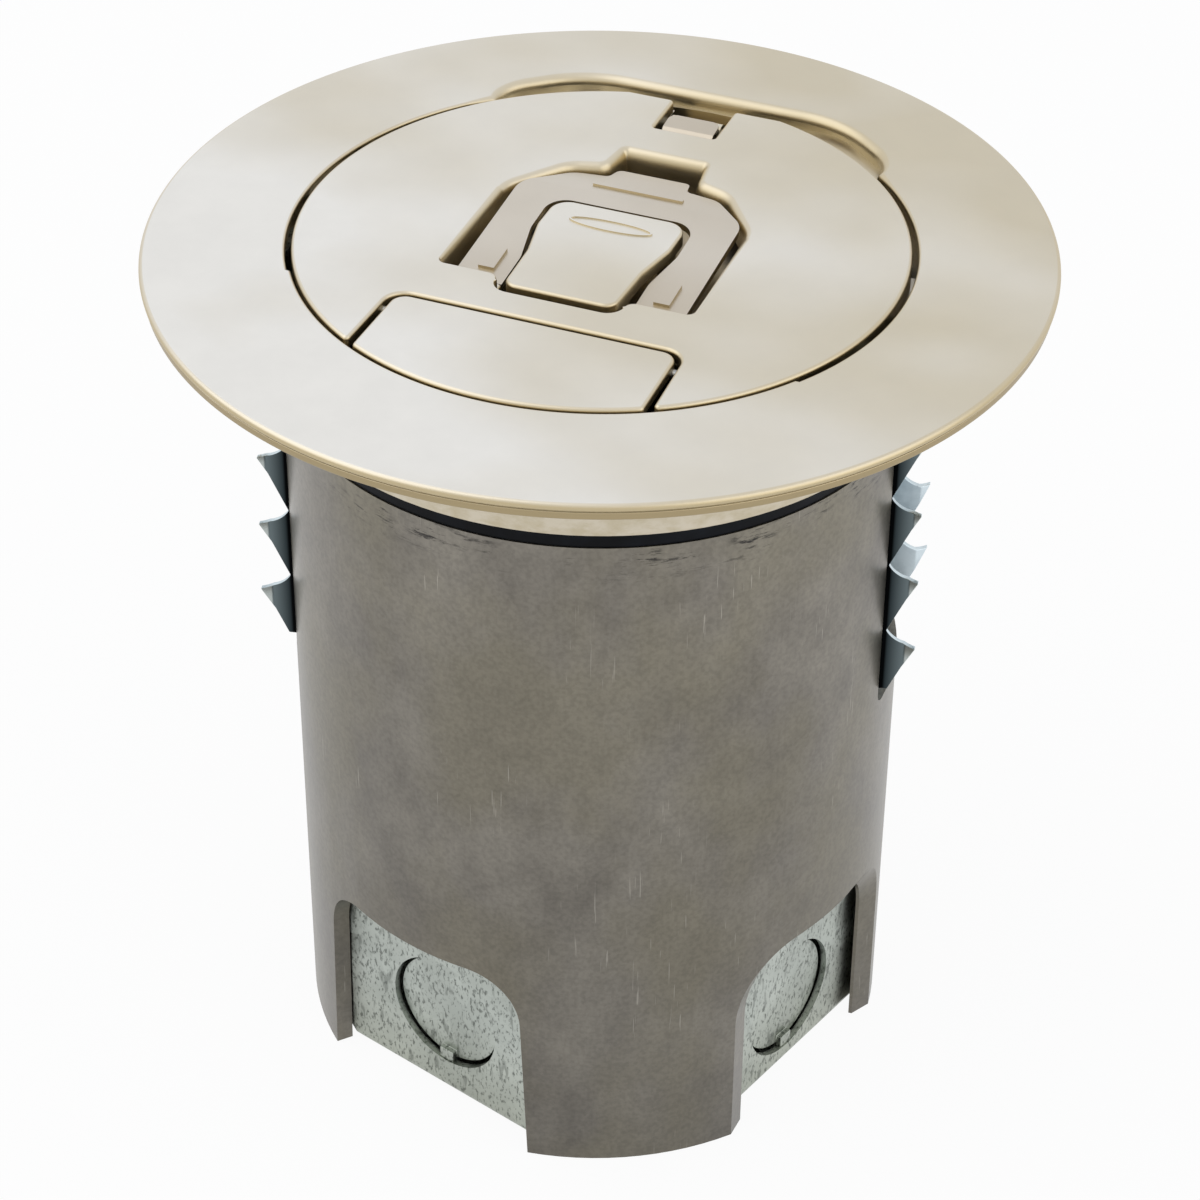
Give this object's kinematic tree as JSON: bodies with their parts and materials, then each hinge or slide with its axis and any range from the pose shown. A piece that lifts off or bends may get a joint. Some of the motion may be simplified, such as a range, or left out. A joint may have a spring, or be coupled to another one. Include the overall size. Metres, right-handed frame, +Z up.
{
  "type": "floor socket box",
  "caption": "Round poke-through floor socket box: hinged flange cover with lift handle and cable door over a steel body with saw-tooth retaining clips and a junction box.",
  "frame": {"origin": "on the body axis at the finished floor, in the plane of the flange's seat", "axes": "+Z up out of the floor, -Y towards the cable door, +X to the right of a person who faces the door"},
  "size_m": [0.197, 0.197, 0.2077],
  "materials": {
    "satin_nickel": "satin nickel plate on a zinc casting, lightly worn",
    "nickel_handle": "satin nickel plate on pressed steel",
    "drawn_steel": "bare drawn steel, fine draw lines and handling scuffs",
    "galvanised_steel": "galvanised, pale grey with dark flecks",
    "spring_steel": "bluish zinc plate",
    "zinc_screws": "clear zinc plate",
    "stainless_pins": "ground stainless",
    "spring_wire": "drawn spring wire",
    "black_rubber": "moulded rubber, gloss skin",
    "white_outlet": "moulded, fine gloss",
    "black_moulding": "moulded, matt",
    "blue_jack": "moulded, half gloss",
    "green_earth_screw": "green dyed zinc plate"
  },
  "bodies": {
    "housing": {"cover_flange": "satin_nickel", "flange_gasket": "black_rubber", "cover_screws": "zinc_screws", "body_shell": "drawn_steel", "hinge_bracket": "satin_nickel", "hinge_bracket_screws": "zinc_screws", "lid_hinge_pin": "stainless_pins", "strike_plates": "galvanised_steel", "clip_pocket_left": "galvanised_steel", "clip_pocket_right": "galvanised_steel", "clip_guide_pins": "stainless_pins", "clip_spring_left": "spring_wire", "clip_spring_right": "spring_wire", "socket_pan": "galvanised_steel", "socket_pan_screws": "zinc_screws", "power_outlet_face": "white_outlet", "power_outlet_housing": "black_moulding", "power_outlet_strap": "galvanised_steel", "outlet_screws": "zinc_screws", "data_plate": "black_moulding", "data_jacks": "blue_jack", "data_screws": "zinc_screws", "earth_screw": "green_earth_screw", "divider": "galvanised_steel", "junction_box": "galvanised_steel", "knockout_discs": "galvanised_steel", "partition_plate": "galvanised_steel", "cable_grommet": "black_rubber", "junction_box_screws": "zinc_screws"},
    "lid": {"lid": "satin_nickel", "lid_seal": "black_rubber", "hinge_detent_leaf": "spring_wire", "detent_leaf_rivets": "stainless_pins", "latch_pan": "galvanised_steel", "latch_pan_screws": "zinc_screws", "bolt_guides": "galvanised_steel", "bolt_guide_rivets": "stainless_pins", "handle_pivot_pins": "stainless_pins", "paddle_pin": "stainless_pins", "paddle_spring": "spring_wire", "bolt_spring_left": "spring_wire", "bolt_spring_right": "spring_wire", "door_hinge_pin": "stainless_pins", "door_spring": "spring_wire"},
    "egress_door": {"egress_door": "satin_nickel"},
    "lift_handle": {"lift_handle": "nickel_handle"},
    "release_paddle": {"release_paddle": "satin_nickel"},
    "latch_bolt_right": {"latch_bolt_right": "zinc_screws"},
    "latch_bolt_left": {"latch_bolt_left": "zinc_screws"},
    "retaining_clip_right": {"retaining_clip_right": "spring_steel"},
    "retaining_clip_left": {"retaining_clip_left": "spring_steel"}
  },
  "joints": [
    {"name": "lid_hinge", "type": "hinge", "parent": "housing", "child": "lid", "pos_m": [0, 0.06, 0.0009], "axis": [-1, 0, 0], "range_deg": [0, 100]},
    {"name": "egress_door_hinge", "type": "hinge", "parent": "lid", "child": "egress_door", "pos_m": [0, -0.04, 0.0025], "axis": [-1, 0, 0], "range_deg": [0, 100], "stiffness_Nm_per_rad": 0.02, "springref_deg": -28.65},
    {"name": "lift_handle_hinge", "type": "hinge", "parent": "lid", "child": "lift_handle", "pos_m": [0, -0.0182, -0.0006], "axis": [1, 0, 0], "range_deg": [0, 70]},
    {"name": "release_paddle_hinge", "type": "hinge", "parent": "lid", "child": "release_paddle", "pos_m": [0, 0.008, -0.0008], "axis": [1, 0, 0], "range_deg": [0, 5.5], "stiffness_Nm_per_rad": 2, "springref_deg": -5.73, "deforming": ["paddle_spring"]},
    {"name": "latch_bolt_right_slide", "type": "slide", "parent": "lid", "child": "latch_bolt_right", "axis": [-1, 0, 0], "range_m": [0, 0.00212], "deforming": ["bolt_spring_right"]},
    {"name": "latch_bolt_left_slide", "type": "slide", "parent": "lid", "child": "latch_bolt_left", "axis": [1, 0, 0], "range_m": [0, 0.00212], "deforming": ["bolt_spring_left"]},
    {"name": "retaining_clip_right_slide", "type": "slide", "parent": "housing", "child": "retaining_clip_right", "axis": [-0.9732, -0.23, 0], "range_m": [0, 0.00485], "stiffness_N_per_m": 4000, "springref_m": -0.002, "deforming": ["clip_spring_right"]},
    {"name": "retaining_clip_left_slide", "type": "slide", "parent": "housing", "child": "retaining_clip_left", "axis": [0.9732, 0.23, 0], "range_m": [0, 0.00485], "stiffness_N_per_m": 4000, "springref_m": -0.002, "deforming": ["clip_spring_left"]}
  ],
  "couplings": [
    {"joint": "latch_bolt_right_slide", "follows": "release_paddle_hinge", "m_per_rad": 0.022},
    {"joint": "latch_bolt_left_slide", "follows": "release_paddle_hinge", "m_per_rad": 0.022}
  ]
}
